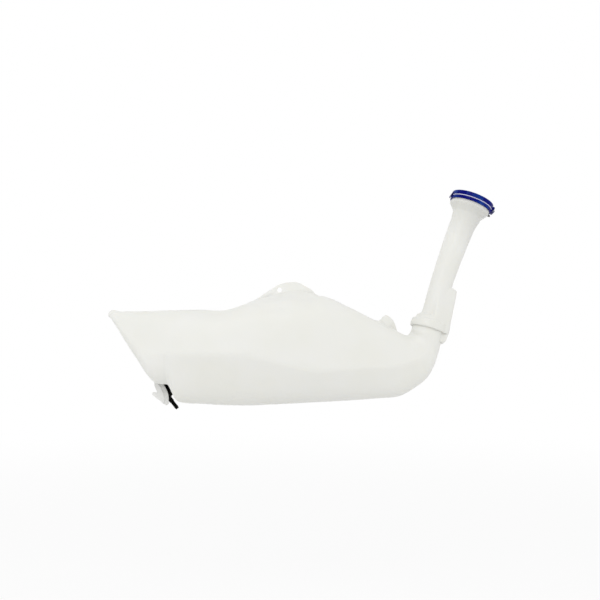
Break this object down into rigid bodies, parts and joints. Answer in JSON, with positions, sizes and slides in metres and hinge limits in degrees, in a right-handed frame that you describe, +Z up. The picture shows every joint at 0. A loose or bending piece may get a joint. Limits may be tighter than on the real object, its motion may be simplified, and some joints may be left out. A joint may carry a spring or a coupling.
{
  "type": "washer fluid reservoir",
  "caption": "Blow-moulded vehicle washer fluid tank with a leaning filler neck, a hinged blue cap, a bolt flange and a washer pump with a hose barb.",
  "frame": {"origin": "centre of the mounting bolt's hole in the top flange, in the tank's parting plane", "axes": "+X towards the filler neck, +Y to the back of the tank, +Z up"},
  "size_m": [0.5271, 0.1174, 0.3008],
  "materials": {
    "tank_plastic": "blow-moulded natural polyethylene, satin",
    "neck_plastic": "blow-moulded natural polyethylene, satin",
    "cap_plastic": "moulded polypropylene, semi-gloss",
    "grey_plastic": "moulded nylon",
    "black_plastic": "moulded glass-filled nylon, satin",
    "retainer_plastic": "moulded polypropylene, satin",
    "impeller_plastic": "moulded acetal",
    "rubber": "moulded rubber",
    "seal_silicone": "moulded silicone, pale",
    "steel": "drawn steel",
    "magnet": "sintered ferrite",
    "core_iron": "laminated iron",
    "copper": "copper alloy",
    "bronze": "sintered bronze",
    "holder_plastic": "moulded phenolic",
    "carbon": "pressed carbon"
  },
  "bodies": {
    "reservoir": {"tank": "tank_plastic", "filler_neck": "neck_plastic", "neck_seal": "rubber", "cap_ring": "cap_plastic", "hinge_pin": "grey_plastic", "lip_stud": "grey_plastic", "pump_head": "black_plastic", "pump_cover": "black_plastic", "volute_plate": "black_plastic", "seal_plate": "black_plastic", "shaft_seal": "rubber", "lower_bush": "bronze", "motor_can": "steel", "motor_magnets": "magnet", "brush_holder": "holder_plastic", "motor_brushes": "carbon", "upper_bush": "bronze", "motor_housing": "black_plastic", "motor_end_cap": "black_plastic", "connector_terminals": "copper", "pump_grommet": "rubber", "inlet_strainer": "impeller_plastic", "pump_retainer": "retainer_plastic"},
    "lid": {"cap_lid": "cap_plastic", "cap_seal": "seal_silicone"},
    "rotor": {"motor_shaft": "steel", "motor_armature": "core_iron", "motor_commutator": "copper", "pump_impeller": "impeller_plastic"}
  },
  "joints": [
    {"name": "lid_hinge", "type": "hinge", "parent": "reservoir", "child": "lid", "pos_m": [0.29223, 0.02853, 0.10691], "axis": [-0.0452, 0.9877, -0.1498], "range_deg": [0, 135]},
    {"name": "rotor_spin", "type": "hinge", "parent": "reservoir", "child": "rotor", "pos_m": [-0.157, 0.02, -0.1535], "axis": [0, 0, 1], "continuous": true}
  ]
}
